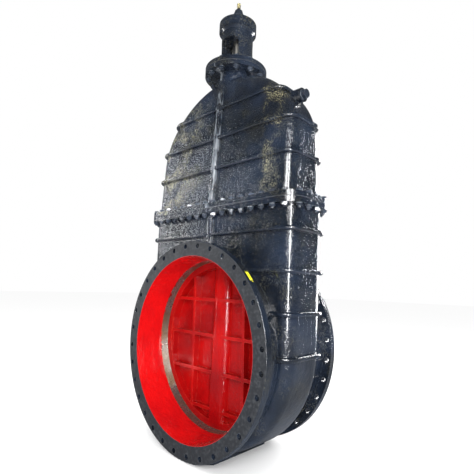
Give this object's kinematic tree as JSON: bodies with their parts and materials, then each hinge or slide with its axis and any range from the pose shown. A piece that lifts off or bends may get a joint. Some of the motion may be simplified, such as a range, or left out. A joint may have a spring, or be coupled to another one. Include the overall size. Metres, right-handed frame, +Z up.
{
  "type": "gate valve",
  "caption": "Large double-flanged wedge gate valve, closed: flat ribbed body, arched bonnet, gland pillar with an actuator flange, and a non-rising stem with a bare tapered drive end.",
  "frame": {"origin": "on the floor under the middle of the foot, below the stem axis, at the bottom centre of the valve's box", "axes": "+Z up along the stem; Y along the bore, with the inlet flange facing -Y; +X towards the vent boss"},
  "size_m": [1.5414, 0.71, 3.4245],
  "materials": {
    "casting_paint": "thick glossy blue-black paint over rough casting",
    "gate_paint": "glossy red paint over rough casting",
    "seat_metal": "machined, slightly tarnished",
    "bronze": "machined",
    "fastener_paint": "glossy paint",
    "bare_steel": "bare, oiled",
    "stem_steel": "turned",
    "gasket_rubber": "matte",
    "packing_graphite": "braided graphite yarn"
  },
  "bodies": {
    "housing": {"bearing_cover": "casting_paint", "bonnet": "casting_paint", "bonnet_bolts": "fastener_paint", "bonnet_gasket": "gasket_rubber", "bonnet_nuts": "fastener_paint", "cover_screws": "bare_steel", "gland_follower": "bronze", "gland_nuts": "bare_steel", "gland_studs": "bare_steel", "inlet_seat_ring": "seat_metal", "lower_thrust_bearing": "bare_steel", "neck_bolts": "fastener_paint", "neck_gasket": "gasket_rubber", "neck_nuts": "fastener_paint", "outlet_seat_ring": "seat_metal", "packing_ring_1": "packing_graphite", "packing_ring_2": "packing_graphite", "packing_ring_3": "packing_graphite", "packing_ring_4": "packing_graphite", "pillar": "casting_paint", "stem_bush": "bronze", "stem_seal": "gasket_rubber", "stuffing_box": "casting_paint", "upper_thrust_bearing": "bare_steel", "valve_body": "casting_paint", "vent_plug": "fastener_paint"},
    "gate": {"gate": "gate_paint", "inlet_gate_ring": "seat_metal", "outlet_gate_ring": "seat_metal", "stem_nut": "bronze"},
    "stem": {"stem": "stem_steel"}
  },
  "joints": [
    {"name": "gate_lift", "type": "slide", "parent": "housing", "child": "gate", "axis": [0, 0, 1], "range_m": [0, 1.2]},
    {"name": "stem_turn", "type": "hinge", "parent": "housing", "child": "stem", "pos_m": [0, 0, 3], "axis": [0, 0, 1], "range_deg": [0, 36000]}
  ],
  "couplings": [
    {"joint": "stem_turn", "follows": "gate_lift", "rad_per_m": 523.6}
  ]
}
